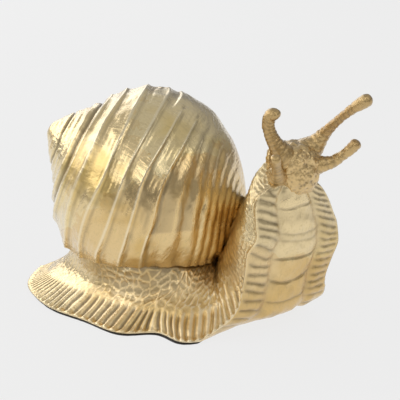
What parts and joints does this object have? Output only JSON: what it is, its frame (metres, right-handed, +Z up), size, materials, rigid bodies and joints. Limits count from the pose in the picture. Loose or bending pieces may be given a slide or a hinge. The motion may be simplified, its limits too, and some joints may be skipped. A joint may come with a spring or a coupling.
{
  "type": "snail figurine",
  "caption": "Gilded cast snail ornament with a ribbed spiral shell over a pleated foot, a raised neck and feelers; it stands free on a felt base.",
  "frame": {"origin": "on the felt's flat underside, below the shell, where the ornament meets the table", "axes": "+X from the tail to the head, +Y to the snail's own left, +Z up"},
  "size_m": [0.2934, 0.1515, 0.1887],
  "materials": {
    "body_leaf": "pale brass leaf laid in squares over cast resin, satin, toned with brown in the hollows",
    "shell_leaf": "pale brass leaf laid in squares over cast resin, satin, worn to amber along some seams",
    "feeler_leaf": "brass leaf over cast resin, toned darker",
    "felt": "dark wool felt",
    "pin_steel": "drawn steel rod"
  },
  "bodies": {
    "root": {"body_casting": "body_leaf", "shell": "shell_leaf", "felt_pad": "felt", "upper_left_feeler": "feeler_leaf", "upper_right_feeler": "feeler_leaf", "lower_left_feeler": "feeler_leaf", "lower_right_feeler": "feeler_leaf", "upper_left_pin": "pin_steel", "upper_right_pin": "pin_steel", "lower_left_pin": "pin_steel", "lower_right_pin": "pin_steel"}
  },
  "joints": []
}
